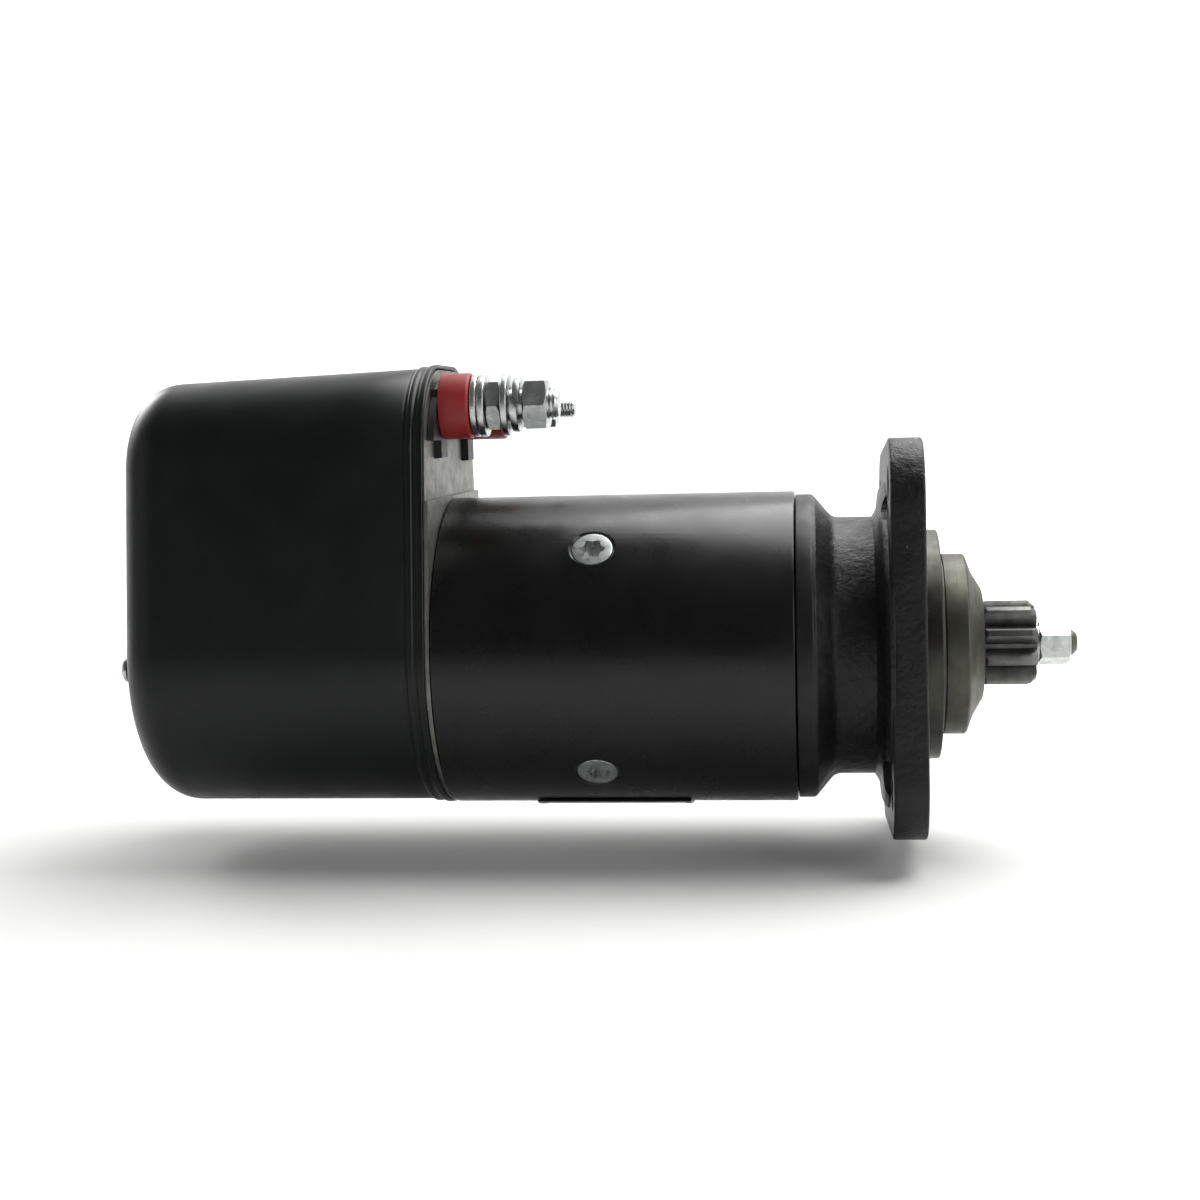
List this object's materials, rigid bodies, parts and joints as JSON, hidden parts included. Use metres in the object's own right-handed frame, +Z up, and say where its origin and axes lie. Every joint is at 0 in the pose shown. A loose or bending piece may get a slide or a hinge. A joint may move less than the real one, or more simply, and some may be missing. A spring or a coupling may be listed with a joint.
{
  "type": "starter motor",
  "caption": "Heavy-duty starter motor: pole housing with arched rear cap, two-stud terminal block, clocked mounting flange, pilot and a sliding pinion on the nose.",
  "frame": {"origin": "on the motor axis, in the plane of the flange's mounting face", "axes": "+X along the motor axis towards the pinion, +Z up through the two terminals, +Y completes the right-handed frame"},
  "size_m": [0.3668, 0.1292, 0.1874],
  "materials": {
    "cap_paint": "satin black",
    "housing_paint": "satin black",
    "cast_paint": "matte black over rough casting",
    "cast_aluminium": "satin, as cast",
    "turned_steel": "turned",
    "gear_steel": "dark, hardened",
    "zinc": "bright zinc plate",
    "red_plastic": "matte",
    "black_plastic": "matte",
    "copper": "satin copper",
    "iron": "satin",
    "bronze": "satin bronze",
    "carbon": "matte carbon",
    "seal_rubber": "matte",
    "spring_steel": "bright wire",
    "blank_plate": "satin"
  },
  "bodies": {
    "housing": {"battery_clamp_nut": "zinc", "battery_insulator": "red_plastic", "battery_lock_nut": "zinc", "battery_spring_washer": "zinc", "battery_stud": "zinc", "battery_washer_1": "zinc", "battery_washer_2": "zinc", "battery_washer_3": "zinc", "bearing_cover": "turned_steel", "brush_plate": "black_plastic", "commutator_end_frame": "cast_aluminium", "control_insulator": "red_plastic", "control_nut": "zinc", "control_relay_coil": "copper", "control_relay_frame": "iron", "control_stud": "zinc", "drive_end_housing": "cast_paint", "field_coils": "copper", "front_bearing": "bronze", "motor_lead": "copper", "plunger_spring": "spring_steel", "pole_housing": "housing_paint", "pole_screw_1": "zinc", "pole_screw_2": "zinc", "pole_screw_3": "zinc", "pole_screw_4": "zinc", "pole_shoe_1": "iron", "pole_shoe_2": "iron", "pole_shoe_3": "iron", "pole_shoe_4": "iron", "rating_plate": "blank_plate", "rear_bearing_bush": "bronze", "rear_cap": "cap_paint", "rear_cap_screw_1": "zinc", "rear_cap_screw_2": "zinc", "shaft_seal": "seal_rubber", "solenoid_coil": "copper", "solenoid_cup": "iron", "solenoid_pole_plate": "iron", "terminal_block": "black_plastic", "through_bolt_1": "zinc", "through_bolt_2": "zinc"},
    "armature": {"armature_shaft": "gear_steel", "armature_core": "iron", "armature_winding": "copper", "commutator": "copper", "clutch_outer_plate": "iron"},
    "clutch": {"clutch_hub": "gear_steel", "clutch_inner_plate": "bronze"},
    "drive": {"drive_spindle": "gear_steel", "pinion": "gear_steel", "engaging_rod": "gear_steel", "pinion_nut": "zinc"},
    "plunger": {"solenoid_plunger": "iron"},
    "contact": {"contact_bridge": "copper"},
    "relay": {"control_relay_armature": "iron"},
    "brush_a": {"brush_1": "carbon"},
    "brush_b": {"brush_2": "carbon"},
    "brush_c": {"brush_3": "carbon"},
    "brush_d": {"brush_4": "carbon"}
  },
  "joints": [
    {"name": "armature_spin", "type": "hinge", "parent": "housing", "child": "armature", "pos_m": [-0.12, 0, 0], "axis": [1, 0, 0], "continuous": true},
    {"name": "clutch_overrun", "type": "hinge", "parent": "armature", "child": "clutch", "pos_m": [-0.065, 0, 0], "axis": [1, 0, 0], "continuous": true},
    {"name": "pinion_slide", "type": "slide", "parent": "clutch", "child": "drive", "axis": [1, 0, 0], "range_m": [0, 0.022], "stiffness_N_per_m": 1500, "springref_m": -0.02},
    {"name": "plunger_slide", "type": "slide", "parent": "housing", "child": "plunger", "axis": [1, 0, 0], "range_m": [0, 0.022], "deforming": ["plunger_spring"]},
    {"name": "contact_slide", "type": "slide", "parent": "housing", "child": "contact", "axis": [1, 0, 0], "range_m": [0, 0.0034]},
    {"name": "relay_slide", "type": "slide", "parent": "housing", "child": "relay", "axis": [1, 0, 0], "range_m": [0, 0.0025], "stiffness_N_per_m": 700, "springref_m": -0.005},
    {"name": "brush_lift_1", "type": "slide", "parent": "housing", "child": "brush_a", "axis": [0, 1, 0], "range_m": [0, 0.006], "stiffness_N_per_m": 900, "springref_m": -0.01},
    {"name": "brush_lift_2", "type": "slide", "parent": "housing", "child": "brush_b", "axis": [0, 0, 1], "range_m": [0, 0.006], "stiffness_N_per_m": 900, "springref_m": -0.01},
    {"name": "brush_lift_3", "type": "slide", "parent": "housing", "child": "brush_c", "axis": [0, -1, 0], "range_m": [0, 0.006], "stiffness_N_per_m": 900, "springref_m": -0.01},
    {"name": "brush_lift_4", "type": "slide", "parent": "housing", "child": "brush_d", "axis": [0, 0, -1], "range_m": [0, 0.006], "stiffness_N_per_m": 900, "springref_m": -0.01}
  ],
  "couplings": [
    {"joint": "plunger_slide", "follows": "pinion_slide", "ratio": 1},
    {"joint": "contact_slide", "follows": "pinion_slide", "ratio": 0.154}
  ]
}
